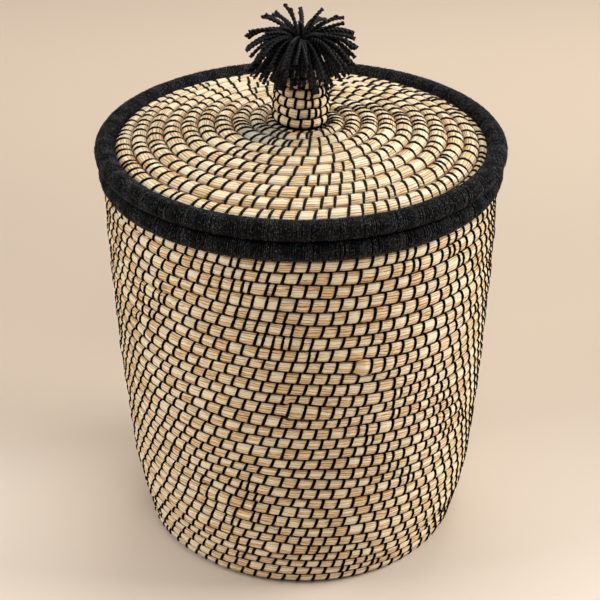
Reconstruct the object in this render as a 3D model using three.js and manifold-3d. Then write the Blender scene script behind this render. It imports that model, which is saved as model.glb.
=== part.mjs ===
// Lidded storage basket of coiled grass, in millimetres, +Z up, front towards -Y.
// Base, wall, lid and knob are each one unbroken coil that runs in a spiral from row to row.
import * as THREE from 'three';
import Module from 'manifold-3d';

const wasm = await Module();
wasm.setup();

// Overall sizes
const mouthRadius = 193.5; // to the middle of the wall's coil at the mouth
const baseRadius = 149; // to the middle of the wall's first row
const wallHeight = 401; // floor to the top edge of the coiled wall
const lidOverhang = 8; // how far the lid's rim roll stands out over the basket's
const seatGap = 0.3; // clearance between pieces that touch
const roundSteps = 24; // sides of every wide round form, so that pieces nest side against side
const knobSteps = 16;
const knotSteps = 12;
const crestStart = 0.27; // share of a row's width over which its flank rises to the crest
const plainRows = 3; // rows to one flat of a plain hidden face
const plainLidRows = 2;

// Grass coil of the base and the wall
const coilWidth = 13; // spacing of the rows
const coilThickness = 13; // over the crests of a row
const grooveDepth = 3; // from the crest of a row to the groove beside it
const floorFlat = 0.5; // how far the rows under the base are pressed flat
const startButtonRadius = 11; // flat knot in the middle of the base where the coil starts
const wallStart = 75; // degrees from +X to where the wall's coil starts

// Middle of the wall's coil: its heel, outwards from the base and above the floor, and then its side, by
// shares of the way out to the mouth and of the wall's height
const heel = [[0, 5.8], [4, 5.9], [8.2, 8.4], [12.3, 19.5]];
const sideShares = [[0.483, 0.15], [0.618, 0.249], [0.753, 0.399], [0.876, 0.623], [0.955, 0.823], [1, 1]];
// How far the hand-laid rows rise towards the left side, as a slope at shares of the wall height
const rowLean = [[0, 0], [0.12, 0.04], [0.3, 0.064], [0.5, 0.046], [0.75, 0.042], [0.88, 0.026], [1, 0]];

// Yarn-wrapped rim rolls
const rollRadius = 11.5;
const wrapThickness = 3; // yarn over the grass core
const rollInset = 3; // centre of the basket's roll, inside the wall's centre line

// Middle of the lid's coil, by shares of the way from its hole out to its edge and of the dome's height
const lidCoilWidth = 16.8;
const lidStart = 135;
const domeHeight = 25.6;
const domeShares = [
  [0, 0.944], [0.147, 1], [0.353, 0.926], [0.588, 0.731], [0.765, 0.49], [0.894, 0.25], [1, 0],
];
const lidEdgeDrop = 3; // the lid's edge below the centre of its roll
const ringRows = 2; // rows of the locating ring under the lid
const ringThickness = 11;
const ringPlay = 2.4; // locating ring to the basket's roll

// Middle of the knob's coil over the lid's hole, from its foot up to its top hole, by shares of the way
// from that hole out to the foot and of the knob's height
const knobRadius = 24.5;
const knobHeight = 64;
const knobShares = [[1, 0], [0.98, 0.125], [0.9, 0.39], [0.79, 0.625], [0.72, 0.81], [0.53, 0.945], [0, 1]];
const knobCoilWidth = 10.4;
const knobStart = -90;
const knobThickness = 9;
const knobGroove = 1.7;

// Pompom
const strandCount = 44;
const strandRadius = 3;
const strandSides = 3;
const strandSteps = 2;
const pompomRadius = 57; // reach of the level strands
const topStrandShare = 0.7; // reach of the upright strands, against the level ones
const highestTilt = 62; // degrees above level
const lowestTilt = -38;
const tiltSpread = 0.8; // below 1, more strands lie low than high
const strandArch = 15; // how far a strand bows up before it droops
const hubRadius = 9;
const stemRadius = 4;
const stemSides = 8;
const stemPlay = 3.6; // knob's top hole round the stem
const tieThickness = 4.4;
const knotThickness = 5.2;
const knotDrop = 1.4; // top of the knot below the edge of the knob's hole

const grass = { color: 0xd8b988, roughness: 0.75, metalness: 0 };
const coreGrass = { color: 0xa98b5d, roughness: 0.9, metalness: 0 };
const darkYarn = { color: 0x1c1b1d, roughness: 0.95, metalness: 0 };

// Closed solid from triangles given as points: equal points are joined and collapsed triangles left out
function weld(triangles) {
  const stepsPerMillimetre = 1000;
  const indexOf = new Map();
  const positions = [];
  const faces = [];
  const place = (point) => {
    const snapped = point.toArray().map((v) => Math.round(v * stepsPerMillimetre) / stepsPerMillimetre + 0);
    const key = snapped.join();
    if (!indexOf.has(key)) {
      indexOf.set(key, indexOf.size);
      positions.push(...snapped);
    }
    return indexOf.get(key);
  };
  for (const corners of triangles) {
    const [a, b, c] = corners.map(place);
    if (a !== b && b !== c && c !== a) faces.push(a, b, c);
  }
  return new wasm.Manifold(new wasm.Mesh({
    numProp: 3,
    vertProperties: new Float32Array(positions),
    triVerts: new Uint32Array(faces),
  }));
}

function solidOf(geometry) {
  const at = geometry.getAttribute('position');
  const order = geometry.index ? [...geometry.index.array] : [...Array(at.count).keys()];
  const points = order.map((i) => new THREE.Vector3().fromBufferAttribute(at, i));
  const triangles = [];
  for (let i = 0; i < points.length; i += 3) triangles.push(points.slice(i, i + 3));
  return weld(triangles);
}

function geometryOf(solid) {
  const mesh = solid.getMesh();
  const geometry = new THREE.BufferGeometry();
  geometry.setAttribute('position', new THREE.BufferAttribute(mesh.vertProperties, 3));
  geometry.setIndex(new THREE.BufferAttribute(mesh.triVerts, 1));
  geometry.computeVertexNormals();
  return geometry;
}

// Smooth line through points given as radius and height
function meridian(points) {
  return new THREE.SplineCurve(points.map(([r, z]) => new THREE.Vector2(r, z)));
}

// Points given as shares of the way between two radii and of a height, counted from a base height
function between(innerRadius, outerRadius, height, shares, baseHeight = 0) {
  return shares.map(([out, up]) => [
    innerRadius + (outerRadius - innerRadius) * out,
    baseHeight + height * up,
  ]);
}

// Height of a line that runs outwards, at a radius
function heightAt(line, radius) {
  const halvings = 30;
  let [low, high] = [0, 1];
  for (let halving = 0; halving < halvings; halving += 1) {
    const middle = (low + high) / 2;
    if (line.getPointAt(middle).x < radius) low = middle;
    else high = middle;
  }
  return line.getPointAt(low).y;
}

// Row width that divides a line's length evenly
function evenWidth(line, width) {
  return line.getLength() / Math.round(line.getLength() / width);
}

// Face of a coil: row width, and levels across a row as distances from the coil's centre line
function rowedFace(width, thickness, groove, flat = 0) {
  const low = thickness / 2 - groove;
  const crest = thickness / 2 - flat;
  const top = [crestStart, 1 - crestStart].map((share) => ({ share, level: crest }));
  return { width, low, steps: [{ share: 0, level: low }, ...top] };
}

function ridgedFace(width, thickness, groove) {
  const low = thickness / 2 - groove;
  return { width, low, steps: [{ share: 0, level: low }, { share: 0.5, level: thickness / 2 }] };
}

// Even face at the mean height of the rows, with one edge to so many rows
function evenFace(width, thickness, groove, rowsToAnEdge) {
  const level = thickness / 2 - groove / 2;
  return { width: rowsToAnEdge * width, low: level, steps: [{ share: 0, level }] };
}

// Level that a face has at most at a distance from the line's end, on the flank of its last row
function levelNearEnd(face, distance) {
  const crest = face.steps.at(-1).level;
  const flank = face.steps.length > 1 ? face.steps[1].share * face.width : 1;
  return face.low + (crest - face.low) * THREE.MathUtils.clamp(distance / flank, 0, 1);
}

// One face of a coil at one angle. turn is the share of a full turn, in which the rows move on by one.
// A row that the line's end cuts short stands out less, so the coil's two tails taper away.
function facePoints(line, face, turn, sideSign) {
  const length = line.getLength();
  const rows = Math.ceil(length / face.width) + 1;
  const points = [];
  for (let count = -1; count < rows; count += 1) {
    const start = THREE.MathUtils.clamp((count + turn) * face.width, 0, length);
    const end = THREE.MathUtils.clamp((count + 1 + turn) * face.width, 0, length);
    const fullness = (end - start) / face.width;
    for (const { share, level } of face.steps) {
      const at = (start + (end - start) * share) / length;
      const middle = line.getPointAt(at);
      const along = line.getTangentAt(at);
      const offset = sideSign * (face.low + (level - face.low) * fullness);
      points.push(new THREE.Vector2(middle.x - along.y * offset, middle.y + along.x * offset));
    }
  }
  return points;
}

// Shell of one coil that spirals clockwise, seen from above, along a meridian line.
// left and right are its faces on either side of the line; rise lifts a point by its place.
function coiledShell(line, left, right, { start = 0, steps = roundSteps, rise = () => 0 } = {}) {
  const sections = [];
  for (let step = 0; step <= steps; step += 1) {
    const turn = step / steps;
    const angle = THREE.MathUtils.degToRad(start) - 2 * Math.PI * turn;
    const outline = [...facePoints(line, left, turn, 1), ...facePoints(line, right, turn, -1).reverse()];
    sections.push(outline.map((point) => {
      const radius = Math.max(point.x, 0);
      const x = radius * Math.cos(angle);
      return new THREE.Vector3(x, radius * Math.sin(angle), point.y + rise(x, point.y));
    }));
  }
  const triangles = [];
  for (let step = 0; step < steps; step += 1) {
    const here = sections[step];
    const next = sections[step + 1];
    here.forEach((point, i) => {
      const after = (i + 1) % here.length;
      triangles.push([point, next[after], here[after]], [point, next[i], next[after]]);
    });
  }
  return weld(triangles);
}

function arcPoints(centre, radius, from, to, count) {
  return Array.from({ length: count }, (_, i) => {
    const angle = from + ((to - from) * i) / (count - 1);
    return new THREE.Vector2(centre.x + radius * Math.cos(angle), centre.y + radius * Math.sin(angle));
  });
}

// Ring turned from a closed outline in the radius-height plane
function turned(outline, steps = roundSteps) {
  return new THREE.LatheGeometry([...outline, outline[0]], steps).rotateX(Math.PI / 2);
}

function roundRing(centre, radius, sides, steps = roundSteps) {
  return turned(arcPoints(centre, radius, -Math.PI / 2, 1.5 * Math.PI, sides + 1).slice(0, sides), steps);
}

// Wrapping of a rim roll: a tube ring with a slit that grips the edge of the coil where the line ends,
// with its lips close to the coil's faces left and right of the line
function slitWrap(centre, line, left, right) {
  const back = line.getTangentAt(1).negate();
  const across = new THREE.Vector2(-back.y, back.x);
  const end = line.getPointAt(1).sub(centre);
  const settlingRounds = 8;
  const lipAngle = (face, sideSign) => {
    let place = 0;
    for (let round = 0; round < settlingRounds; round += 1) {
      const distance = Math.sqrt(rollRadius ** 2 - place ** 2) - end.dot(back);
      place = end.dot(across) + sideSign * (levelNearEnd(face, distance) + 2 * seatGap);
    }
    return back.angle() + Math.asin(place / rollRadius);
  };
  const from = lipAngle(right, 1);
  const to = lipAngle(left, -1) + 2 * Math.PI;
  const outerPoints = 12;
  const innerSides = 6;
  const insideFlats = (rollRadius - wrapThickness) / Math.cos((to - from) / innerSides / 2);
  return turned([
    ...arcPoints(centre, rollRadius, from, to, outerPoints),
    ...arcPoints(centre, insideFlats, to, from, innerSides + 1),
  ]);
}

// Basket
const heelPoints = heel.map(([out, up]) => [baseRadius + out, up]);
const wallLine = meridian([...heelPoints, ...between(baseRadius, mouthRadius, wallHeight, sideShares)]);
const coreRadius = rollRadius - wrapThickness - seatGap;
const coreSides = 6;

function leanSlope(share) {
  const next = rowLean.findIndex(([at]) => at >= share);
  if (next < 1) return 0;
  const [[fromShare, from], [toShare, to]] = [rowLean[next - 1], rowLean[next]];
  return from + ((to - from) * (share - fromShare)) / (toShare - fromShare);
}

function aboveFloor(solid) {
  const deep = 100;
  const block = new THREE.BoxGeometry(4 * mouthRadius, 4 * mouthRadius, deep).translate(0, 0, -deep / 2);
  return solid.subtract(solidOf(block));
}

function baseCoil() {
  const centreHeight = coilThickness / 2 - floorFlat;
  const edge = baseRadius - 2 * seatGap;
  const line = new THREE.LineCurve(new THREE.Vector2(0, centreHeight), new THREE.Vector2(edge, centreHeight));
  const width = evenWidth(line, coilWidth);
  const top = evenFace(width, coilThickness, grooveDepth, plainRows);
  const under = rowedFace(width, coilThickness, grooveDepth, floorFlat);
  const button = new THREE.CylinderGeometry(startButtonRadius, startButtonRadius, centreHeight, roundSteps)
    .rotateX(Math.PI / 2).translate(0, 0, centreHeight / 2);
  return coiledShell(line, top, under).add(solidOf(button));
}

const wallRow = evenWidth(wallLine, coilWidth);
const wallInside = evenFace(wallRow, coilThickness, grooveDepth, plainRows);
const wallOutside = rowedFace(wallRow, coilThickness, grooveDepth);

function wallCoil() {
  const rise = (x, height) => -x * leanSlope(height / wallHeight);
  return aboveFloor(coiledShell(wallLine, wallInside, wallOutside, { start: wallStart, rise }));
}

const basketRoll = new THREE.Vector2(mouthRadius - rollInset, wallHeight + seatGap + coreRadius);

// Lid, whose roll rests on the basket's roll and stands out over it
const lidRoll = new THREE.Vector2(
  basketRoll.x + lidOverhang,
  basketRoll.y + Math.sqrt((2 * rollRadius + seatGap) ** 2 - lidOverhang ** 2),
);
const lidHoleRadius = knobRadius - knobThickness / 2;
const lidEdgeRadius = lidRoll.x - coreRadius - seatGap;
const lidLine = meridian(
  between(lidHoleRadius, lidEdgeRadius, domeHeight, domeShares, lidRoll.y - lidEdgeDrop),
);

const lidRow = evenWidth(lidLine, lidCoilWidth);
const lidUpper = rowedFace(lidRow, coilThickness, grooveDepth);
const lidUnder = evenFace(lidRow, coilThickness, grooveDepth, plainLidRows);

function locatingRing() {
  const radius = basketRoll.x - rollRadius - ringPlay - ringThickness / 2;
  const topCorner = radius + ringThickness / 2 - grooveDepth;
  const top = heightAt(lidLine, topCorner) - lidUnder.low - 3 * seatGap;
  const line = new THREE.LineCurve(
    new THREE.Vector2(radius, top - ringRows * coilWidth),
    new THREE.Vector2(radius, top),
  );
  const rows = ridgedFace(coilWidth, ringThickness, grooveDepth);
  return coiledShell(line, rows, rows);
}

// Knob, on the lid round its hole
const knobFoot = heightAt(lidLine, knobRadius + knobThickness / 2) + coilThickness / 2 + seatGap;
const knobLine = meridian(
  between(stemRadius + stemPlay, knobRadius, knobHeight, knobShares, knobFoot),
);

function knobCoil() {
  const width = evenWidth(knobLine, knobCoilWidth);
  const inside = evenFace(width, knobThickness, knobGroove, 1);
  const outside = rowedFace(width, knobThickness, knobGroove);
  return coiledShell(knobLine, inside, outside, { start: knobStart, steps: knobSteps });
}

// Pompom: its stem goes down through the knob's top hole, tied above it and knotted below it
const holeHalf = knobThickness / 2 - knobGroove;
const holeHeight = knobLine.getPointAt(1).y;
const tie = new THREE.Vector2(stemRadius + seatGap + tieThickness / 2, 0);
tie.y = holeHeight + holeHalf + seatGap + tieThickness / 2;
const knot = new THREE.Vector2(stemRadius + seatGap + knotThickness / 2, 0);
knot.y = holeHeight - holeHalf - knotDrop - knotThickness / 2;
const hubHeight = tie.y + Math.sqrt((hubRadius + tieThickness / 2 + seatGap) ** 2 - tie.x ** 2);

function strand(index) {
  const goldenAngle = Math.PI * (3 - Math.sqrt(5));
  const share = index / (strandCount - 1);
  const tilt = THREE.MathUtils.degToRad(THREE.MathUtils.lerp(highestTilt, lowestTilt, share ** tiltSpread));
  const reach = pompomRadius * (1 - (1 - topStrandShare) * Math.max(0, Math.sin(tilt)));
  const outwards = new THREE.Vector3(1, 0, 0).applyAxisAngle(new THREE.Vector3(0, 0, 1), index * goldenAngle);
  const tip = outwards.clone().multiplyScalar(Math.cos(tilt) * reach).setZ(Math.sin(tilt) * reach);
  const bow = tip.clone().multiplyScalar(0.5).add(new THREE.Vector3(0, 0, strandArch * Math.cos(tilt)));
  const root = bow.clone().setLength(hubRadius - strandRadius);
  const path = new THREE.QuadraticBezierCurve3(root, bow, tip);
  const corners = arcPoints(new THREE.Vector2(), strandRadius, 0, 2 * Math.PI, strandSides + 1);
  const section = new THREE.Shape(corners.slice(0, strandSides));
  return solidOf(new THREE.ExtrudeGeometry(section, { steps: strandSteps, extrudePath: path }));
}

function pompom() {
  const stemEnd = knot.y - knotThickness / 2;
  const stemLength = hubHeight - stemEnd;
  const stem = new THREE.CylinderGeometry(stemRadius, stemRadius, stemLength, stemSides)
    .rotateX(Math.PI / 2).translate(0, 0, -stemLength / 2);
  const strands = Array.from({ length: strandCount }, (_, i) => strand(i));
  const parts = [solidOf(new THREE.IcosahedronGeometry(hubRadius, 1)), solidOf(stem), ...strands];
  return parts.reduce((whole, part) => whole.add(part)).translate([0, 0, hubHeight]);
}

const object = new THREE.Group();

function addPiece(name, geometry, look) {
  const mesh = new THREE.Mesh(geometry, new THREE.MeshStandardMaterial(look));
  mesh.name = name;
  object.add(mesh);
}

addPiece('base_coil', geometryOf(baseCoil()), grass);
addPiece('wall_coil', geometryOf(wallCoil()), grass);
addPiece('basket_rim_core', roundRing(basketRoll, coreRadius, coreSides), coreGrass);
addPiece('basket_rim_wrap', slitWrap(basketRoll, wallLine, wallInside, wallOutside), darkYarn);
addPiece('lid_coil', geometryOf(coiledShell(lidLine, lidUpper, lidUnder, { start: lidStart })), grass);
addPiece('knob_coil', geometryOf(knobCoil()), grass);
addPiece('lid_rim_core', roundRing(lidRoll, coreRadius, coreSides), coreGrass);
addPiece('lid_rim_wrap', slitWrap(lidRoll, lidLine, lidUpper, lidUnder), darkYarn);
addPiece('lid_locating_ring', geometryOf(locatingRing()), grass);
addPiece('pompom', geometryOf(pompom()), darkYarn);
addPiece('pompom_tie', roundRing(tie, tieThickness / 2, coreSides, knotSteps), darkYarn);
addPiece('pompom_anchor_knot', roundRing(knot, knotThickness / 2, coreSides, knotSteps), darkYarn);

export default object;
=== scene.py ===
"""Coiled grass storage basket with a lid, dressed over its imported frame."""

import math
import random
from collections import namedtuple

import bmesh
import bpy
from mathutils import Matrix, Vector
from mathutils.geometry import interpolate_bezier


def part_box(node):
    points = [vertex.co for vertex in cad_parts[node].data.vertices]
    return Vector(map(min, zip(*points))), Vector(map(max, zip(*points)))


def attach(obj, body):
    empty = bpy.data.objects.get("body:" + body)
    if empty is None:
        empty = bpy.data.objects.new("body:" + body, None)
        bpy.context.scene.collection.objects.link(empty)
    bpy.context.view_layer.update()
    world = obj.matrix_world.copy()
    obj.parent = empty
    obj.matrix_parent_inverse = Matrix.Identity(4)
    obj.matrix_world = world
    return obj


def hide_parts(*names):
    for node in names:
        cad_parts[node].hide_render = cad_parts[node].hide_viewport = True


bl_info = {
    "name": "Lidded storage basket",
    "version": (1, 0, 0),
    "blender": (4, 5, 0),
    "location": "3D View > Sidebar > Basket",
    "description": "Coiled grass basket with black stitching, yarn-wrapped rims and a pompom knob",
    "category": "Add Mesh",
}

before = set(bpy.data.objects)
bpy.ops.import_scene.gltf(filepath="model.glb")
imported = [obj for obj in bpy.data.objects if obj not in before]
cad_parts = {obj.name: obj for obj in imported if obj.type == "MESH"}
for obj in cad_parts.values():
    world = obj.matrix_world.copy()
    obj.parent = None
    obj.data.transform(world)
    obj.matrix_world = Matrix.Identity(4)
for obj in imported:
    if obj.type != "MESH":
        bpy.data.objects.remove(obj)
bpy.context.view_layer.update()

MM = 0.001
FULL_TURN = 2 * math.pi

# Wall and base. Shares run from foot to mouth, and from axis to rim. The heel's points are in
# millimetres, and where a coil starts is in degrees.
WALL_HEIGHT = 401 * MM
BASE_RADIUS = 149 * MM
BASE_THICKNESS = 11 * MM
BASE_MIDDLE = 6.9 * MM
MOUTH_RADIUS = 193.5 * MM
HEEL = [(0, 5.8), (4, 5.9), (8.2, 8.4), (12.3, 19.5)]
SIDE_SHARES = [
    (0.483, 0.15), (0.618, 0.249), (0.753, 0.399), (0.876, 0.623), (0.955, 0.823), (1, 1),
]
WALL_START = 75

# The wall's hand-laid rows: how they rise towards the left, as a slope, how far they lie off their
# even places, in millimetres, what they come to over a whole number, and a slow sway, as its reach
# and its waves round the wall and up it
ROW_LEAN = [(0, 0), (0.12, 0.04), (0.3, 0.064), (0.5, 0.046), (0.75, 0.042), (0.88, 0.026), (1, 0)]
ROW_SHIFT = [(0, 0), (0.16, -9), (0.31, -6.8), (0.47, -11), (0.72, -10), (0.96, 0), (1, 0)]
PART_ROW = 0.5
ROW_SWAY = 0.9 * MM
SWAY_WAVES = [(3, 11), (5, -23)]

# What touches the floor is pressed flat this far above it
GRASS_FLOOR = 0.4 * MM
CORD_FLOOR = 0.1 * MM

# Rolls round the mouth and the lid, whose thickness is from the middle out
ROLL_THICKNESS = 11.5 * MM
LID_ROLL_THICKNESS = 10.65 * MM
ROLL_CORE_RADIUS = 7.4 * MM
ROLL_OUTWARDS = 1 * MM
ROLL_RISE = 9.3 * MM
SEAT_GAP = 0.3 * MM
LID_OVERHANG = 4 * MM
RIM_HAIRS = 4000
HAIR_RADIUS = 0.15 * MM

# Lid and knob, and the locating ring under the lid. The lid's line ends short of its roll's middle
# by the tuck, and below it by the drop.
DOME_HEIGHT = 25.6 * MM
DOME_SHARES = [
    (0, 0.944), (0.147, 1), (0.353, 0.926), (0.588, 0.731), (0.765, 0.49), (0.894, 0.25), (1, 0),
]
LID_EDGE_DROP = 4 * MM
LID_TUCK = 8.5 * MM
LID_THICKNESS = 13 * MM
LID_START = 135
KNOB_RADIUS = 24.5 * MM
KNOB_HEIGHT = 64 * MM
KNOB_HOLE = 7.6 * MM
KNOB_SHARES = [
    (1, 0), (0.98, 0.125), (0.9, 0.39), (0.79, 0.625), (0.72, 0.81), (0.53, 0.945), (0, 1),
]
KNOB_THICKNESS = 9 * MM
KNOB_ROW = 10.4 * MM
KNOB_START = -90
RING_THICKNESS = 11 * MM
RING_ROWS = 2
RING_PLAY = 6.4 * MM

# Bundle of stems: how far a stitch draws it in, and how its grooves wander, as reach, beats to a
# turn and start
PINCH = 0.11
WANDER = [(0.5 * MM, 3.7, 0.0), (0.4 * MM, 7.3, 1.0), (0.3 * MM, 13.1, 2.0)]

# Joins in the wall's bundle, where it is thicker by a size and thins out back along its length:
# turn, size and length in turns
JOINS = [
    (4.49, 1.4 * MM, 0.05), (8.55, 1.8 * MM, 0.04), (18.47, 2.6 * MM, 0.06),
    (22.41, 2.4 * MM, 0.04),
]

# Pompom: how far its stem goes past the tie and the knot, how far its middle lies above the tie,
# and how thick a strand is at its root
STEM_PAST = 2 * MM
MIDDLE_RISE = 20 * MM
THIN_ROOT = 0.55

# Straw where it isn't plain: green stems, and painted shade in the creases between stems, along the
# rows' edges and deep in the grooves; and the depth of the yarn
GREEN_STEM = (0.46, 0.44, 0.26, 1)
STEM_CREASE_SHADE = (0.20, 0.10, 0.04, 1)
ROW_EDGE_SHADE = (0.40, 0.17, 0.045, 1)
GROOVE_SHADE = (0.05, 0.026, 0.011, 1)
DEEP_YARN = (0.0015, 0.0015, 0.002, 1)

# Grey, darker patch on the lid, in front of the knob at the left: its middle and its reach
GREY_PATCH = (Vector((-38, -31, 461)) * MM, 31 * MM)

# Studio: the lamps, which point at a target, as name, place, size and power
SKY = (1.0, 0.985, 0.965, 1)
SKY_STRENGTH = 0.28
LAMP_TARGET = Vector((0, 0, 0.4))
LAMPS = [
    ("overhead", Vector((0.15, 0.57, 1.55)), 0.9, 9.8),
    ("front", Vector((0.3, -1.9, 2.6)), 1.0, 12),
    ("right", Vector((3.1, 0.1, 1.9)), 1.8, 102),
    ("left", Vector((-3.1, -0.5, 1.9)), 1.8, 58),
]
CAMERA_PLACE = (-0.001, -1.8, 1.233)
CAMERA_TILT = 61.39
CAMERA_LENS = 116

# Stitches of a coil: spacing by the start and after so many rows, how far the top of a stitch lies
# back along the row, how far a stitch lies ahead of the one below as a share of the spacing, the
# share that is doubled, and how thick the dark cord lies in the grooves, partly the cord's real
# passage and partly painted shade of the deep groove
Sewing = namedtuple("Sewing", "near far easing lean step doubled thread")

# Roll of wound yarn, by the radius and height of its middle and the radius of its section
Roll = namedtuple("Roll", "radius height thickness")

# Bundle at a turn: its middle, its facing side, the ways up to the next row and on along its own,
# how far its section tilts, and its height as a share of an even row's
Place = namedtuple("Place", "centre facing upward forward tilt fullness")


class Meridian:
    """Smooth line through points of radius and height, measured along its length."""

    steps = 24

    def __init__(self, points):
        ends = [Vector((*point, 0)) for point in (points[0], *points, points[-1])]
        self.path = [ends[0]]
        for before, start, end, after in zip(ends, ends[1:], ends[2:], ends[3:]):
            pull_out = start + (end - before) / 6
            pull_in = end - (after - start) / 6
            self.path += interpolate_bezier(start, pull_out, pull_in, end, self.steps)[1:]
        self.reached = [0.0]
        for here, there in zip(self.path, self.path[1:]):
            self.reached.append(self.reached[-1] + (there - here).length)
        self.length = self.reached[-1]

    def at(self, distance):
        """Point and direction at a distance from the start."""
        low, high = 0, len(self.path) - 1
        while high - low > 1:
            middle = (low + high) // 2
            if self.reached[middle] <= distance:
                low = middle
            else:
                high = middle
        here, there = self.path[low], self.path[high]
        share = (distance - self.reached[low]) / (self.reached[high] - self.reached[low])
        return here.lerp(there, share), (there - here).normalized()


def between(inner, outer, height, shares, foot=0.0):
    """Points by shares of the way from one radius to another and of a height above a foot."""
    return [(inner + (outer - inner) * out, foot + height * up) for out, up in shares]


def clamp(value, low, high):
    """Value kept between two others."""
    return max(low, min(high, value))


def outwards_at(angle):
    """Level direction away from the axis."""
    return Vector((math.cos(angle), math.sin(angle), 0))


def read_table(table, share):
    """Value at a share, straight between a table's pairs of share and value."""
    for (low, start), (high, end) in zip(table, table[1:]):
        if low <= share <= high:
            return start + (end - start) * (share - low) / (high - low)
    return 0.0


def row_lift(spot):
    """How far the wall's rows lie above their even height at a spot, by their lean and sway."""
    share = clamp(spot.z / WALL_HEIGHT, 0, 1)
    angle = math.atan2(spot.y, spot.x)
    sway = sum(math.sin(around * angle + up * share) for around, up in SWAY_WAVES)
    return -spot.x * read_table(ROW_LEAN, share) + ROW_SWAY * sway * math.sin(math.pi * share)


class Coil:
    """One bundle of grass that runs clockwise, seen from above, row beside row along a meridian."""

    def __init__(
        self, line, row, thickness, start=0, squareness=2.5, leans=False, shows_facing=True,
        joins=(), shifts=(), part_row=0.0,
    ):
        self.line = line
        self.rows = round(line.length / row) + part_row
        self.row = line.length / self.rows
        self.half_width = self.row / 2
        self.half_thickness = thickness / 2
        self.start = math.radians(start)
        self.squareness = squareness
        self.leans = leans
        self.shown_side = 1 if shows_facing else -1
        self.joins = joins
        self.shifts = shifts

    def groove(self, turn):
        """Place along the meridian of the groove below the bundle after so many turns."""
        drift = sum(
            reach * math.sin(FULL_TURN * beats * turn + start) for reach, beats, start in WANDER
        )
        for at, size, length in self.joins:
            for edge, side in ((at, -1), (at + 1, 1)):
                if 0 <= edge - turn < length:
                    drift += side * size * (1 - (edge - turn) / length)
        drift *= clamp(min(turn, self.rows - turn), 0, 1)
        drift += read_table(self.shifts, turn / self.rows) * MM
        return clamp(turn * self.row + drift, 0, self.line.length)

    def place(self, turn):
        """Middle, directions and fullness of the bundle after so many turns."""
        low, high = self.groove(turn), self.groove(turn + 1)
        middle, along = self.line.at((low + high) / 2)
        angle = self.start - FULL_TURN * turn
        outwards = outwards_at(angle)
        centre = outwards * middle.x + Vector((0, 0, middle.y))
        if self.leans:
            centre.z += row_lift(centre)
        return Place(
            centre,
            facing=outwards * along.y - Vector((0, 0, along.x)),
            upward=outwards * along.x + Vector((0, 0, along.y)),
            forward=Vector((math.sin(angle), -math.cos(angle), 0)),
            tilt=math.atan2(-along.x, along.y),
            fullness=(high - low) / self.row,
        )

    def girth(self, turn):
        """Length of the row at a turn."""
        centre = self.place(turn).centre
        return FULL_TURN * max(math.hypot(centre.x, centre.y), self.half_width)


def stitch_turns(coil, sewing, chance):
    """Turns at which the cord goes round: each stitch hooks in a little past the one below."""
    first, last = -0.75, coil.rows - 0.3
    shortest_step, longest_step = 0.7, 1.3
    too_close, too_far = 0.6, 1.5
    evening, most_evened = 0.45, 0.3

    def gap(turn):
        spacing = sewing.near + (sewing.far - sewing.near) * clamp(turn / sewing.easing, 0, 1)
        return spacing / coil.girth(turn)

    turns = [first]
    while turns[-1] < first + 1:
        turns.append(turns[-1] + gap(turns[-1]))
    for below in turns:
        step = sewing.step * gap(below + 1) * chance.uniform(shortest_step, longest_step)
        turn = below + 1 + step
        if turn > last:
            break
        even = turns[-1] + gap(turn)
        turn += evening * clamp(even - turn, -most_evened * gap(turn), most_evened * gap(turn))
        reach = (turn - turns[-1]) / gap(turn)
        if reach < too_close:
            continue
        if reach > too_far:
            turns.append((turns[-1] + turn) / 2)
        turns.append(turn)
        if chance.random() < sewing.doubled:
            turns.append(turn + gap(turn) / 2)
    return turns


def oval(angle, half_thickness, half_width, squareness):
    """Corner of a bundle's squarish section: how far to its facing side, and how far up."""
    across, up = math.cos(angle), math.sin(angle)
    power = 2 / squareness
    return (
        half_thickness * math.copysign(abs(across) ** power, across),
        half_width * math.copysign(abs(up) ** power, up),
    )


def put(name, data):
    """New object in the scene."""
    holder = bpy.data.objects.new(name, data)
    bpy.context.scene.collection.objects.link(holder)
    return holder


def section_curve(name, corners):
    """Closed flat curve that a tube takes its section from."""
    section = bpy.data.curves.new(name, "CURVE")
    section.dimensions = "2D"
    line = section.splines.new("POLY")
    line.points.add(len(corners) - 1)
    line.use_cyclic_u = True
    for point, corner in zip(line.points, corners):
        point.co = (*corner, 0, 1)
    return put(name, section)


def bundle_section(name, coil, sides):
    """Section of a bundle, from the groove below it and round by its facing side."""
    overlap = 1.02
    corners = []
    for i in range(sides):
        angle = FULL_TURN * i / sides - math.pi / 2
        out, up = oval(angle, coil.half_thickness, coil.half_width * overlap, coil.squareness)
        corners.append((-out, up))
    return section_curve(name, corners)


def yarn_section(name, radius):
    """Section of a yarn of two plies, pinched where they meet."""
    waist, sides = 0.55, 8
    corners = []
    for i in range(sides):
        angle = -FULL_TURN * i / sides
        reach = radius * (waist + (1 - waist) * abs(math.cos(angle)))
        corners.append((reach * math.cos(angle), reach * math.sin(angle)))
    return section_curve(name, corners)


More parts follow.
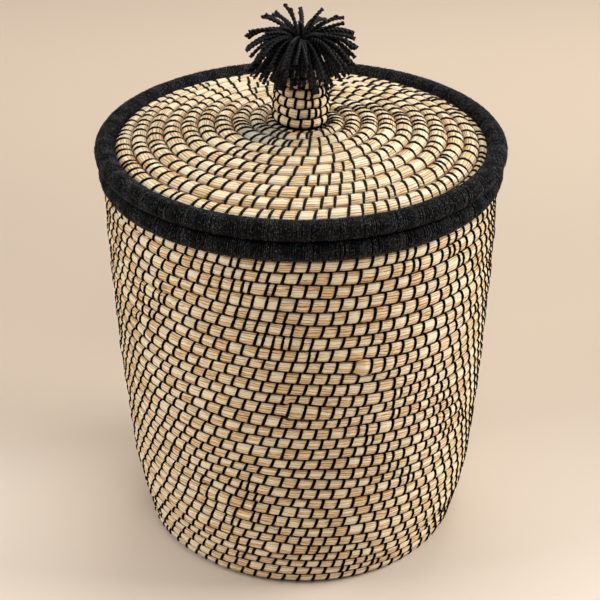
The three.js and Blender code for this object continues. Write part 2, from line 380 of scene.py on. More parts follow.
def tube_mesh(
    name, open_runs, closed_runs=(), radius=0.0, roundness=1, section=None, level=False,
):
    """Mesh of tubes along runs of (place, scale, tilt) points, round or with their own section."""
    path = bpy.data.curves.new(name, "CURVE")
    path.dimensions = "3D"
    path.twist_mode = "Z_UP" if level else "MINIMUM"
    path.use_fill_caps = True
    if section:
        path.bevel_mode = "OBJECT"
        path.bevel_object = section
    else:
        path.bevel_depth = radius
        path.bevel_resolution = roundness
    for runs, closed in ((open_runs, False), (closed_runs, True)):
        for run in runs:
            line = path.splines.new("POLY")
            line.points.add(len(run) - 1)
            line.use_cyclic_u = closed
            places = [value for place, _, _ in run for value in (*place, 1)]
            line.points.foreach_set("co", places)
            line.points.foreach_set("radius", [scale for _, scale, _ in run])
            line.points.foreach_set("tilt", [tilt for _, _, tilt in run])
    holder = put(name, path)
    seen = holder.evaluated_get(bpy.context.evaluated_depsgraph_get())
    mesh = bpy.data.meshes.new_from_object(seen, preserve_all_data_layers=True)
    mesh.name = name
    bpy.data.objects.remove(holder)
    bpy.data.curves.remove(path)
    if section:
        bpy.data.objects.remove(section)
    return mesh


def number_the_length(mesh, numbers):
    """Replace the share of the length in a single tube's UV map by a number for each ring."""
    places = mesh.uv_layers[0].uv
    values = [0.0] * (2 * len(places))
    places.foreach_get("vector", values)
    last = len(numbers) - 1
    values[0::2] = [numbers[min(last, round(share * last))] for share in values[0::2]]
    places.foreach_set("vector", values)


def finish_piece(name, mesh, body, material, nodes=(), floor=None):
    """Object of a finished mesh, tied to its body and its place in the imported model."""
    weld = 0.001 * MM
    shape = bmesh.new()
    shape.from_mesh(mesh)
    bmesh.ops.remove_doubles(shape, verts=shape.verts, dist=weld)
    bmesh.ops.recalc_face_normals(shape, faces=shape.faces)
    if floor is not None:
        for corner in shape.verts:
            corner.co.z = max(corner.co.z, floor)
    shape.to_mesh(mesh)
    shape.free()
    mesh.materials.clear()
    mesh.materials.append(bpy.data.materials[material])
    piece = put(name, mesh)
    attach(piece, body)
    if nodes:
        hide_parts(*nodes)


class Nodes:
    """Short way to place and join shader nodes in a tree."""

    def __init__(self, tree):
        self.tree = tree

    def feed(self, node, inputs):
        """Link or set a node's inputs, given by name or number."""
        for label, value in inputs.items():
            if isinstance(value, bpy.types.NodeSocket):
                self.tree.links.new(value, node.inputs[label])
            else:
                node.inputs[label].default_value = value

    def add(self, kind, inputs=None, **settings):
        """New node with its settings and inputs."""
        node = self.tree.nodes.new(kind)
        for name, value in settings.items():
            setattr(node, name, value)
        self.feed(node, inputs or {})
        return node

    def math(self, operation, *values):
        return self.add("ShaderNodeMath", dict(enumerate(values)), operation=operation).outputs[0]

    def times(self, *values):
        return self.math("MULTIPLY", *values)

    def weigh(self, *terms):
        """Sum of (value, weight) terms."""
        total = 0.0
        for value, weight in terms:
            total = self.math("MULTIPLY_ADD", value, weight, total)
        return total

    def spread(self, value, low, high, to_low=0.0, to_high=1.0):
        """Value eased from one range to another."""
        inputs = dict(enumerate((value, low, high, to_low, to_high)))
        return self.add("ShaderNodeMapRange", inputs, interpolation_type="SMOOTHSTEP").outputs[0]

    def blend(self, share, first, second):
        """Mix of two colours, by the colour sockets of the node."""
        inputs = {0: share, 6: first, 7: second}
        return self.add("ShaderNodeMix", inputs, data_type="RGBA").outputs[2]

    def join(self, x, y, z):
        return self.add("ShaderNodeCombineXYZ", {0: x, 1: y, 2: z}).outputs[0]

    def split(self, vector):
        return self.add("ShaderNodeSeparateXYZ", {0: vector}).outputs

    def noise(self, vector, scale=1.0, detail=2.0, roughness=0.5):
        inputs = {"Vector": vector, "Scale": scale, "Detail": detail, "Roughness": roughness}
        return self.add("ShaderNodeTexNoise", inputs).outputs[0]

    def dice(self, vector):
        """Random number for a cell."""
        inputs = {"Vector": vector}
        return self.add("ShaderNodeTexWhiteNoise", inputs, noise_dimensions="3D").outputs[0]

    def distance(self, spot, middle):
        inputs = {0: spot, 1: middle}
        return self.add("ShaderNodeVectorMath", inputs, operation="DISTANCE").outputs["Value"]

    def bump(self, height, strength, distance):
        inputs = {"Strength": strength, "Distance": distance, "Height": height}
        return self.add("ShaderNodeBump", inputs).outputs[0]


def new_group(name, inputs, outputs):
    """Node group with named sockets, given by their kind."""
    tree = bpy.data.node_groups.new(name, "ShaderNodeTree")
    for side, sockets in (("INPUT", inputs), ("OUTPUT", outputs)):
        for kind, labels in sockets.items():
            for label in labels:
                socket = "NodeSocket" + kind
                tree.interface.new_socket(name=label, in_out=side, socket_type=socket)
    nodes = Nodes(tree)
    return nodes, nodes.add("NodeGroupInput").outputs, nodes.add("NodeGroupOutput")


def straw_group():
    """Bundle of dry stems between stitches, with painted shade in the grooves, along the rows'
    edges, in the creases between stems and by the cord.

    The coil place counts stitches along the coil, and goes once round the bundle from the groove
    below it.
    """
    nodes, given, out = new_group(
        "Straw stems",
        {
            "Vector": ["Coil place"],
            "Float": [
                "Stems round", "Stitch lean", "Lower edge shade", "Upper edge shade", "Groove shade", "Lightness",
                "Seed",
            ],
            "Color": ["Pale", "Straw", "Brown"],
        },
        {"Color": ["Color"], "Float": ["Roughness", "Height"]},
    )
    seed = given["Seed"]
    place = nodes.split(given["Coil place"])
    around = place[1]
    turned = nodes.times(around, FULL_TURN)
    up = nodes.times(nodes.math("COSINE", turned), -1.0)
    along = nodes.math("MULTIPLY_ADD", up, given["Stitch lean"], place[0])
    segment = nodes.math("FLOOR", along)
    phase = nodes.math("FRACT", along)

    # Stems, each with its tone, which wander a little between stitches
    wander_along, wander_around, wander_reach = 0.7, 9.0, 1.8
    wander = nodes.noise(nodes.join(
        nodes.times(along, wander_along), nodes.times(around, wander_around), segment,
    ))
    shifted = nodes.times(wander, wander_reach)
    stems = nodes.math("MULTIPLY_ADD", around, given["Stems round"], shifted)
    ridge = nodes.math("SINE", nodes.times(nodes.math("FRACT", stems), math.pi))
    stem_tone = nodes.dice(nodes.join(nodes.math("FLOOR", stems), segment, seed))
    segment_tone = nodes.dice(nodes.join(segment, seed, 7.0))

    # Streaks along the stems and patches over many rows
    streak_along, streak_around, streak_segment = 0.9, 34.0, 3.7
    streaks = nodes.noise(nodes.join(
        nodes.times(along, streak_along),
        nodes.times(around, streak_around),
        nodes.times(segment, streak_segment),
    ), detail=3.0, roughness=0.6)
    patch_along, patch_around = 0.09, 0.8
    patches = nodes.noise(nodes.join(
        nodes.times(along, patch_along), seed, nodes.times(around, patch_around),
    ), detail=3.0)

    # Tone of a stem, from brown over straw to pale; its ridge paints it lighter along its middle,
    # painted shading of its roundness
    brown_until, straw_from, straw_until, pale_from = 1.15, 1.55, 1.65, 2.05
    tone = nodes.weigh(
        (stem_tone, 0.9), (streaks, 1.9), (patches, 0.3), (segment_tone, 0.05), (ridge, 0.4),
        (given["Lightness"], 1.0),
    )
    strawy = nodes.spread(tone, brown_until, straw_from)
    colour = nodes.blend(strawy, given["Brown"], given["Straw"])
    colour = nodes.blend(nodes.spread(tone, straw_until, pale_from), colour, given["Pale"])
    green_from, greenest = 0.93, 0.3
    green = nodes.times(nodes.spread(segment_tone, green_from, 1.0), greenest)
    colour = nodes.blend(green, colour, GREEN_STEM)

    # Painted shade in the creases between stems, deepest beside dark ones
    crease_shade_depth = 0.85
    low_ridge = nodes.spread(ridge, 0.1, 0.5, 1.0, 0.0)
    crease = nodes.times(low_ridge, nodes.spread(stem_tone, 0.9, 0.4))
    colour = nodes.blend(nodes.times(crease, crease_shade_depth), colour, STEM_CREASE_SHADE)

    # Painted shade along the row's edges, deep in its grooves and by the cord
    edge_shade = nodes.weigh(
        (nodes.spread(up, -0.3, -1.0), given["Lower edge shade"]),
        (nodes.spread(up, 0.3, 1.0), given["Upper edge shade"]),
    )
    colour = nodes.blend(edge_shade, colour, ROW_EDGE_SHADE)
    # Painted shade deep in the groove and beside each stitch's cord, in one dark colour
    side = nodes.math("ABSOLUTE", nodes.math("SINE", turned))
    sunk = nodes.times(nodes.spread(side, 0.4, 0.05), given["Groove shade"])
    to_stitch = nodes.math("MINIMUM", phase, nodes.math("SUBTRACT", 1.0, phase))
    shade_reach, cord_edge, cord_shade = 0.13, 0.07, 0.6
    beside = nodes.spread(to_stitch, shade_reach, cord_edge, 0.0, cord_shade)
    colour = nodes.blend(nodes.math("MAXIMUM", sunk, beside), colour, GROOVE_SHADE)

    dull, shiny = 0.6, 0.36
    nodes.feed(out, {
        "Color": colour,
        "Roughness": nodes.spread(tone, 0.9, 1.9, dull, shiny),
        "Height": nodes.weigh((streaks, 0.6), (ridge, 1.0)),
    })


def new_material(name):
    """Material with its nodes and its shader."""
    material = bpy.data.materials.new(name)
    material.use_nodes = True
    return Nodes(material.node_tree), material.node_tree.nodes["Principled BSDF"]


def straw_material(name, stems, lean, painted_shading, tints, seed, grey_patch=None):
    """Dry grass bundle, whose pattern follows the coil's own UV map.

    The painted shading gives the depth of the painted shade along its lower edge, along its upper
    edge and in its groove, and its lightness, and grey_patch gives the middle and reach of a grey,
    darker patch.
    """
    nodes, shader = new_material(name)
    given = {
        "Coil place": nodes.add("ShaderNodeUVMap").outputs[0],
        "Stems round": stems,
        "Stitch lean": lean,
        "Seed": seed,
    }
    given.update(zip(("Lower edge shade", "Upper edge shade", "Groove shade", "Lightness"), painted_shading))
    given.update(zip(("Pale", "Straw", "Brown"), tints))
    straw = bpy.data.node_groups["Straw stems"]
    stem = nodes.add("ShaderNodeGroup", given, node_tree=straw).outputs
    colour = stem["Color"]
    if grey_patch:
        full_patch, greyest = 0.55, 0.9
        middle, reach = grey_patch
        away = nodes.distance(nodes.add("ShaderNodeTexCoord").outputs["Object"], middle)
        grey = nodes.add("ShaderNodeHueSaturation", {
            "Hue": 0.53, "Saturation": 0.55, "Value": 0.6, "Color": colour,
        })
        share = nodes.spread(away, full_patch * reach, reach, greyest, 0.0)
        colour = nodes.blend(share, colour, grey.outputs[0])
    nodes.feed(shader, {
        "Base Color": colour,
        "Roughness": stem["Roughness"],
        "Normal": nodes.bump(stem["Height"], 0.8, 0.5 * MM),
        "Specular IOR Level": 0.45,
    })


def yarn_group():
    """Spun yarn: plies that twist along the strand, with fibre flecks on top."""
    nodes, given, out = new_group(
        "Spun yarn",
        {
            "Vector": ["Strand place", "Fleck place"],
            "Float": ["Twists", "Ply shade", "Fleck scale", "Faded"],
            "Color": ["Deep", "Lit"],
        },
        {"Color": ["Color"], "Float": ["Height"]},
    )
    plies = 2.0
    broad_share = 0.12
    deep_until, lit_from = 0.62, 0.92
    place = nodes.split(given["Strand place"])
    winding = nodes.weigh((place[0], given["Twists"]), (place[1], plies))
    twist = nodes.math("COSINE", nodes.times(winding, FULL_TURN))
    flecks = nodes.noise(given["Fleck place"], given["Fleck scale"], detail=3.0, roughness=0.65)
    broad = nodes.noise(given["Fleck place"], nodes.times(given["Fleck scale"], broad_share))
    tone = nodes.weigh(
        (flecks, 1.0), (twist, given["Ply shade"]), (broad, 0.2), (given["Faded"], 1.0),
    )
    lit = nodes.spread(tone, deep_until, lit_from)
    nodes.feed(out, {
        "Color": nodes.blend(lit, given["Deep"], given["Lit"]),
        "Height": nodes.weigh((flecks, 0.7), (twist, 0.5)),
    })


def yarn_material(
    name, lit, gloss, relief, twists=0, fleck_scale=1400, sheen=0.0, faded=0.0, roughness=0.5,
    ply_shade=0.06,
):
    """Black cord or yarn, whose raised fibres catch the light."""
    nodes, shader = new_material(name)
    yarn = nodes.add("ShaderNodeGroup", {
        "Strand place": nodes.add("ShaderNodeUVMap").outputs[0],
        "Fleck place": nodes.add("ShaderNodeTexCoord").outputs["Object"],
        "Twists": twists,
        "Ply shade": ply_shade,
        "Fleck scale": fleck_scale,
        "Faded": faded,
        "Deep": DEEP_YARN,
        "Lit": [lit * part for part in colours().yarn],
    }, node_tree=bpy.data.node_groups["Spun yarn"]).outputs
    nodes.feed(shader, {
        "Base Color": yarn["Color"],
        "Normal": nodes.bump(yarn["Height"], 0.9, relief),
        "Roughness": roughness,
        "Sheen Weight": sheen,
        "Sheen Roughness": 0.5,
        "Specular IOR Level": gloss,
    })


def paper_material(near, middle, far, left):
    """Plain matt paper whose colour paints light and shade: painted shade in a middle band where
    the lamps light it most, painted light behind where they light it least, and a painted pool of
    light at the front left that thins the basket's shadow.
    """
    nodes, shader = new_material("Backdrop paper")
    grain_scale, grain_weight = 2.5, 0.1
    near_until, middle_from, middle_until, far_from = -0.2, 0.45, 0.5, 1.6
    painted_light_middle, painted_light_full_until, painted_light_reach = (-0.42, -0.2, 0), 0.14, 0.4
    place = nodes.add("ShaderNodeTexCoord").outputs["Object"]
    grain = nodes.noise(place, grain_scale, detail=4.0)
    away = nodes.weigh((nodes.split(place)[1], 1.0), (grain, grain_weight))
    # Painted shade and light from front to back, against the lamps' uneven light on the paper
    colour = nodes.blend(nodes.spread(away, near_until, middle_from), near, middle)
    colour = nodes.blend(nodes.spread(away, middle_until, far_from), colour, far)
    # Painted light: a paler pool at the front left, where the basket's shadow from the right lamp
    # falls
    pale = nodes.spread(nodes.distance(place, painted_light_middle), painted_light_full_until, painted_light_reach, 1.0, 0.0)
    nodes.feed(shader, {
        "Base Color": nodes.blend(pale, colour, left),
        "Roughness": 0.9,
        "Specular IOR Level": 0.1,
    })


def sizes():
    return bpy.context.scene.basket_sizes


def colours():
    return bpy.context.scene.basket_colours


def bundle_rings(coil, stitches, chance, first, last):
    """Run of a coil's rings with their stitch numbers, drawn in under every stitch."""
    rings_to_a_gap = 4
    thinnest = 0.08
    slimmest, fullest = 0.98, 1.03
    start, end = -0.97, coil.rows - 0.03
    marks = [(start, -1.0), *((turn, float(i)) for i, turn in enumerate(stitches))]
    marks.append((end, float(len(stitches))))
    run, numbers = [], []
    for (turn, number), (next_turn, next_number) in zip(marks, marks[1:]):
        swell = chance.uniform(slimmest, fullest)
        for ring in range(rings_to_a_gap):
            share = ring / rings_to_a_gap
            at = turn + (next_turn - turn) * share
            if first <= at <= last:
                place = coil.place(at)
                scale = swell if ring else 1 - PINCH
                run.append((place.centre, scale * max(place.fullness, thinnest), place.tilt))
                numbers.append(number + (next_number - number) * share)
    return run, numbers


def stitch_loop(coil, turn, lean, chance):
    """Closed loop of cord round the bundle, leaning along the row."""
    points = 10
    proud, sunk = 0.25, 0.05
    radius = sizes().cord / 2
    place = coil.place(turn)
    drawn_in = place.fullness * (1 - PINCH)
    reach = coil.half_thickness * drawn_in + proud * radius
    rise = coil.half_width * drawn_in - sunk * radius
    lean *= chance.uniform(0.75, 1.25)
    loop = []
    for i in range(points):
        angle = FULL_TURN * (i + 0.5) / points
        out, up = oval(angle, reach, rise, coil.squareness)
        spot = place.centre + place.facing * out + place.upward * up
        spot -= place.forward * (lean / 2 * math.sin(angle))
        loop.append((spot, chance.uniform(0.92, 1.08), 0.0))
    return loop


def groove_cord_and_shade_run(coil, stitches, fullness, chance):
    """Run of dark cord in the groove below each row, thickest by the stitches: partly the cord's
    thin passage, partly painted shade of the deep groove.
    """
    sunk = 0.34
    spots = ((0, 0.9, 1.2), (0.5, 0.5, 0.9))
    run = []
    for turn, next_turn in zip(stitches, stitches[1:]):
        for share, thinnest, thickest in spots:
            place = coil.place(turn + (next_turn - turn) * share)
            out = coil.shown_side * coil.half_thickness * (1 - sunk) * place.fullness
            below = place.upward * (coil.half_width * place.fullness)
            spot = place.centre + place.facing * out - below
            run.append((spot, fullness * chance.uniform(thinnest, thickest), 0.0))
    return run


def sew_coil(
    name, body, coil, sewing, material, node, seed, bands=None, on_floor=False, sides=12,
    cord="Black cord",
):
    """Grass and cord pieces of one coil, in bands of rows where it is long."""
    chance = random.Random(seed)
    stitches = stitch_turns(coil, sewing, chance)
    grass_floor, cord_floor = (GRASS_FLOOR, CORD_FLOOR) if on_floor else (None, None)
    nodes = [node]
    for band, first, last in bands or [("", -1, coil.rows)]:
        grass_name, cord_name = name + "_grass" + band, name + "_cord" + band
        section = bundle_section(name + "_section", coil, sides)
        run, numbers = bundle_rings(coil, stitches, random.Random(seed + 1), first, last)
        mesh = tube_mesh(grass_name, [run], section=section, level=True)
        number_the_length(mesh, numbers)
        finish_piece(grass_name, mesh, body, material, nodes, grass_floor)
        nodes = []
        some = [turn for turn in stitches if first <= turn < last]
        loops = [stitch_loop(coil, turn, sewing.lean, chance) for turn in some]
        thread = groove_cord_and_shade_run(coil, some, sewing.thread, chance)
        mesh = tube_mesh(cord_name, [thread], loops, radius=sizes().cord / 2)
        finish_piece(cord_name, mesh, body, cord, floor=cord_floor)


def basket_roll():
    """Roll on the mouth."""
    return Roll(MOUTH_RADIUS + ROLL_OUTWARDS, WALL_HEIGHT + ROLL_RISE, ROLL_THICKNESS)


def lid_roll():
    """Roll round the lid, which rests on the one on the mouth."""
    below = basket_roll()
    apart = below.thickness + SEAT_GAP + LID_ROLL_THICKNESS
    rise = math.sqrt(apart ** 2 - LID_OVERHANG ** 2)
    return Roll(below.radius + LID_OVERHANG, below.height + rise, LID_ROLL_THICKNESS)


def base_coil():
    reach = BASE_RADIUS - 2 * SEAT_GAP
    line = Meridian([(0, BASE_MIDDLE), (reach / 2, BASE_MIDDLE), (reach, BASE_MIDDLE)])
    return Coil(line, sizes().row, BASE_THICKNESS)


def wall_coil():
    heel = [(BASE_RADIUS + out * MM, up * MM) for out, up in HEEL]
    side = between(BASE_RADIUS, MOUTH_RADIUS, WALL_HEIGHT, SIDE_SHARES)
    return Coil(
        Meridian([*heel, *side]), sizes().row, sizes().row, WALL_START, leans=True, joins=JOINS,
        shifts=ROW_SHIFT, part_row=PART_ROW,
    )


def lid_coil():
    roll = lid_roll()
    edge = roll.radius - LID_TUCK
    hole = KNOB_RADIUS - KNOB_THICKNESS / 2
    line = Meridian(between(hole, edge, DOME_HEIGHT, DOME_SHARES, roll.height - LID_EDGE_DROP))
    return Coil(
        line, sizes().lid_row, LID_THICKNESS, LID_START, squareness=2.15, shows_facing=False,
    )


def ring_coil():
    """Locating ring under the lid, as high as its node."""
    radius = basket_roll().radius - ROLL_THICKNESS - RING_PLAY - RING_THICKNESS / 2
    low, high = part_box("lid_locating_ring")
    line = Meridian([(radius, low.z), (radius, (low.z + high.z) / 2), (radius, high.z)])
    return Coil(line, (high.z - low.z) / RING_ROWS, RING_THICKNESS)


def knob_coil():
    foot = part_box("knob_coil")[0].z
    line = Meridian(between(KNOB_HOLE, KNOB_RADIUS, KNOB_HEIGHT, KNOB_SHARES, foot))
    return Coil(line, KNOB_ROW, KNOB_THICKNESS, KNOB_START, squareness=2.3)


def ring_run(radius, height, scale=1.0, steps=96):
    """Points of a level ring."""
    run = []
    for i in range(steps):
        angle = FULL_TURN * i / steps
        spot = Vector((radius * math.cos(angle), radius * math.sin(angle), height))
        run.append((spot, scale, 0.0))
    return run


def winding_run(roll, yarn, chance):
    """Yarn wound round and round a roll, each winding laid over the edge of the last."""
    overlap = 0.8
    steps = 14
    slack_along, slack_out, unevenness = 0.4, 0.15, 0.12
    windings = round(FULL_TURN * roll.radius / (2 * yarn * overlap))
    slacks = [chance.uniform(-1, 1) for _ in range(windings)]
    run = []
    for i in range(windings * steps):
        winding, step = divmod(i, steps)
        share = step / steps
        slack = slacks[winding] * (1 - share) + slacks[(winding + 1) % windings] * share
        angle = FULL_TURN * (winding + share + slack_along * slack) / windings
        turned = FULL_TURN * share
        lift = slack_out * slack + chance.uniform(-unevenness, unevenness)
        out = roll.thickness - yarn + yarn * lift
        reach = roll.radius + out * math.cos(turned)
        height = roll.height + out * math.sin(turned)
        spot = Vector((reach * math.cos(angle), reach * math.sin(angle), height))
        run.append((spot, chance.uniform(0.85, 1.15), 0.0))
    return run


def hair_runs(roll, crease, chance):
    """Loose fibres that lie over a roll and stand off it a little, clear of the other roll."""
    crease_half = math.radians(70)
    shortest, longest = 1, 3.5
    rooted = 0.3 * MM
    middle_out, middle_along, tip_along = 0.25, 0.4, 0.9
    flattest, steepest = 0.05, 0.35
    runs = []
    for _ in range(RIM_HAIRS):
        level = outwards_at(chance.uniform(0, FULL_TURN))
        turned = crease + chance.uniform(crease_half, FULL_TURN - crease_half)
        length = chance.uniform(shortest, longest) * MM
        out = level * math.cos(turned) + Vector((0, 0, math.sin(turned)))
        root = level * roll.radius + Vector((0, 0, roll.height)) + out * (roll.thickness - rooted)
        side = Vector([chance.uniform(-1, 1) for _ in range(3)])
        side = (side - out * side.dot(out)).normalized()
        middle = root + (out * middle_out + side * middle_along) * length
        tip = root + (out * chance.uniform(flattest, steepest) + side * tip_along) * length
        runs.append([(root, 1.0, 0.0), (middle, 0.8, 0.0), (tip, 0.3, 0.0)])
    return runs


def strand_run(path, chance, root_scale):
    """Run of a two-ply strand that turns along a path, thin at its root, blunt at its cut end."""
    ply_turn = 9 * MM
    full_from = 0.25
    flare, flared_points = 1.1, 3
    start = chance.uniform(0, FULL_TURN)
    run, reached = [], 0.0
    for i, spot in enumerate(path):
        if i:
            reached += (spot - path[i - 1]).length
        share = i / (len(path) - 1)
        scale = root_scale + (1 - root_scale) * clamp(share / full_from, 0, 1)
        if i >= len(path) - flared_points:
            scale *= flare
        tilt = start + FULL_TURN * reached / ply_turn
        run.append((spot, scale * chance.uniform(0.94, 1.06), tilt))
    return run


def mop_paths(count, middle, neck, chance):
    """Paths of a pompom's strands, which rise together out of the neck and fall open all round."""
    golden_angle = math.pi * (3 - math.sqrt(5))
    points = 62
    highest, fall, crowding = 68, 130, 0.33
    tilt_spread, turn_spread, side_spread = 7, 0.2, 0.14
    longest = 61 * MM
    upright_loss, loss_start = 0.67, 0.14
    root_reach, rise_reach = 2.5, 5
    droop_below, most_below, droop_share = 0.25, 0.8, 0.5
    crown_share, crown_lag = 0.55, 0.5
    up = Vector((0, 0, 1))
    for i in range(count):
        share = (i + 0.5) / count
        swerve = chance.uniform(-tilt_spread, tilt_spread)
        tilt = math.radians(highest - fall * share ** crowding + swerve)
        angle = i * golden_angle + chance.uniform(-turn_spread, turn_spread)
        kept = 1 - upright_loss * max(0, math.sin(tilt + loss_start))
        reach = longest * kept * chance.uniform(0.9, 1.05)
        outwards = outwards_at(angle)
        sideways = outwards.cross(up) * chance.uniform(-side_spread, side_spread) * reach
        level = outwards * (math.cos(tilt) * reach)
        tip = middle + level + up * (math.sin(tilt) * reach) + sideways
        root = neck + outwards * root_reach * MM
        rise = middle + outwards * rise_reach * MM
        droop = clamp(droop_below - tilt, 0, most_below) * droop_share
        arch = up * (droop * reach * math.cos(tilt))
        crown = middle.lerp(tip, crown_share) + arch - sideways * crown_lag
        yield interpolate_bezier(root, rise, crown, tip, points)


def length_setting(name, description, default, low, high):
    """Property of a length, given in millimetres."""
    return bpy.props.FloatProperty(
        name=name, description=description, default=default * MM, min=low * MM, max=high * MM,
        unit="LENGTH",
    )


def colour_setting(name, description, *default):
    """Property of a colour, given by its red, green and blue."""
    return bpy.props.FloatVectorProperty(
        name=name, description=description, default=(*default, 1), min=0, max=1, size=4,
        subtype="COLOR",
    )


class BasketSizes(bpy.types.PropertyGroup):
    """Sizes that a maker would change."""

    row: length_setting("Row", "Spacing of the coiled rows", 13, 6, 30)
    lid_row: length_setting("Lid row", "Spacing of the lid's rows", 16.8, 8, 30)
    stitch_gap: length_setting("Stitch spacing", "From stitch to stitch along a row", 14, 6, 40)
    cord: length_setting("Stitching cord", "Thickness of the cord", 3.2, 1, 5)
    rim_yarn: length_setting("Rim yarn", "Thickness of the yarn on the rims", 2.5, 1, 5)
    pompom_yarn: length_setting("Pompom yarn", "Thickness of the pompom's strands", 4.3, 1, 6)
    strands: bpy.props.IntProperty(
        name="Pompom strands", description="Number of yarn ends in the pompom", default=155,
        min=30, max=200,
    )


class BasketColours(bpy.types.PropertyGroup):
    """Colours that a maker would change."""

    pale: colour_setting("Pale stems", "Lightest stems", 0.96, 0.82, 0.55)
    straw: colour_setting("Straw", "Most of the stems", 0.85, 0.57, 0.27)
    brown: colour_setting("Brown stems", "Darkest stems", 0.50, 0.245, 0.08)
    # The knob's pale stems are partly a warmer straw of their own and partly painted light against
    # the pompom's shade
    knob: colour_setting("Knob stems", "Lightest of the knob's stems", 1.0, 0.76, 0.44)
    yarn: colour_setting("Yarn", "Lit fibres of the black yarn", 0.17, 0.168, 0.176)
    # The floor's colours paint light and shade against the lamps: the middle is painted shade, the
    # far part and the left pool painted light
    floor_near: colour_setting("Floor, near", "Paper in front of the basket", 0.82, 0.71, 0.595)
    floor_middle_painted_shade: colour_setting("Floor, middle, painted shade", "Paper beside the basket", 0.60, 0.485, 0.375)
    floor_far_painted_light: colour_setting("Floor, far, painted light", "Paper behind the basket", 0.84, 0.675, 0.52)
    floor_left_painted_light: colour_setting(
        "Floor, left, painted light", "Paper in front of the basket at the left", 0.98, 0.845, 0.705,
    )


def wall_sewing():
    gap = sizes().stitch_gap
    return Sewing(gap, gap, 1, lean=4.5 * MM, step=0.41, doubled=0.03, thread=0.27)


def lid_sewing():
    gap = sizes().stitch_gap
    return Sewing(0.55 * gap, 0.97 * gap, 5, lean=-5 * MM, step=0.62, doubled=0.06, thread=0.12)


def knob_sewing():
    gap = 0.75 * sizes().stitch_gap
    return Sewing(gap, gap, 1, lean=1.5 * MM, step=0.1, doubled=0.15, thread=0.35)


def lean_share(sewing):
    """How far the end of a stitch leans, as a share of the stitch spacing."""
    return sewing.lean / 2 / sewing.far


class BASKET_OT_materials(bpy.types.Operator):
    """Make the straw, cord and yarn materials"""

    bl_idname = "basket.materials"
    bl_label = "Materials"

    def execute(self, context):
        straw_group()
        yarn_group()
        tint = colours()
        tints = (tint.pale, tint.straw, tint.brown)
        straw_material(
            "Wall straw", stems=16, lean=lean_share(wall_sewing()),
            painted_shading=(0.6, 0.15, 0.8, 0.03), tints=tints, seed=3.1,
        )
        # The lid's stems are painted a little lighter than the wall's: painted light from the lamps
        # above the lid
        straw_material(
            "Lid straw", stems=18, lean=lean_share(lid_sewing()),
            painted_shading=(0.3, 0.3, 0.55, 0.07), tints=tints, seed=7.7, grey_patch=GREY_PATCH,
        )
        # The knob's stems are painted lighter: painted light that makes up for the pompom's shade
        # over the knob
        straw_material(
            "Knob straw", stems=14, lean=lean_share(knob_sewing()),
            painted_shading=(0.45, 0.2, 0.8, 0.35), tints=(tint.knob, tint.straw, tint.brown), seed=12.9,
        )
        yarn_material("Black cord", lit=0.1, gloss=0.02, relief=0.3 * MM, twists=9)
        # The lid's cord is the black cord painted lighter: painted light from the lamps above the
        # lid
        yarn_material("Lid cord painted lighter", lit=0.18, gloss=0.12, relief=0.3 * MM, twists=9)
        yarn_material(
            "Black rim yarn", lit=0.85, gloss=0.05, relief=0.5 * MM, fleck_scale=700, sheen=0.02,
        )
        yarn_material(
            "Rim fuzz", lit=0.85, gloss=0.05, relief=0.1 * MM, fleck_scale=300, sheen=0.02,
            faded=0.25,
        )
        yarn_material(
            "Black pompom yarn", lit=0.25, gloss=0.13, relief=0.25 * MM, roughness=0.35,
            ply_shade=0.1,
        )
        return {"FINISHED"}


class BASKET_OT_base(bpy.types.Operator):
    """Coil and stitch the flat base"""

    bl_idname = "basket.base"
    bl_label = "Base"

    def execute(self, context):
        sew_coil(
            "base", "basket", base_coil(), wall_sewing(), "Wall straw", "base_coil",
            seed=5, on_floor=True,
        )
        return {"FINISHED"}


class BASKET_OT_wall(bpy.types.Operator):
    """Coil and stitch the wall, in three bands"""

    bl_idname = "basket.wall"
    bl_label = "Wall"

    def execute(self, context):
        coil = wall_coil()
        bands = [("_low", -1, 11), ("_middle", 11, 21), ("_high", 21, coil.rows)]
        sew_coil(
            "wall", "basket", coil, wall_sewing(), "Wall straw", "wall_coil",
            seed=11, bands=bands, on_floor=True,
        )
        return {"FINISHED"}


class BASKET_OT_lid(bpy.types.Operator):
    """Coil and stitch the lid and its locating ring"""

    bl_idname = "basket.lid"
    bl_label = "Lid"

    def execute(self, context):
        sew_coil(
            "lid", "lid", lid_coil(), lid_sewing(), "Lid straw", "lid_coil",
            seed=23, sides=14, cord="Lid cord painted lighter",
        )
        sew_coil(
            "lid_ring", "lid", ring_coil(), wall_sewing(), "Wall straw",
            "lid_locating_ring", seed=29,
        )
        return {"FINISHED"}


class BASKET_OT_knob(bpy.types.Operator):
    """Coil and stitch the hollow knob"""

    bl_idname = "basket.knob"
    bl_label = "Knob"

    def execute(self, context):
        sew_coil(
            "knob", "lid", knob_coil(), knob_sewing(), "Knob straw", "knob_coil",
            seed=31,
        )
        return {"FINISHED"}


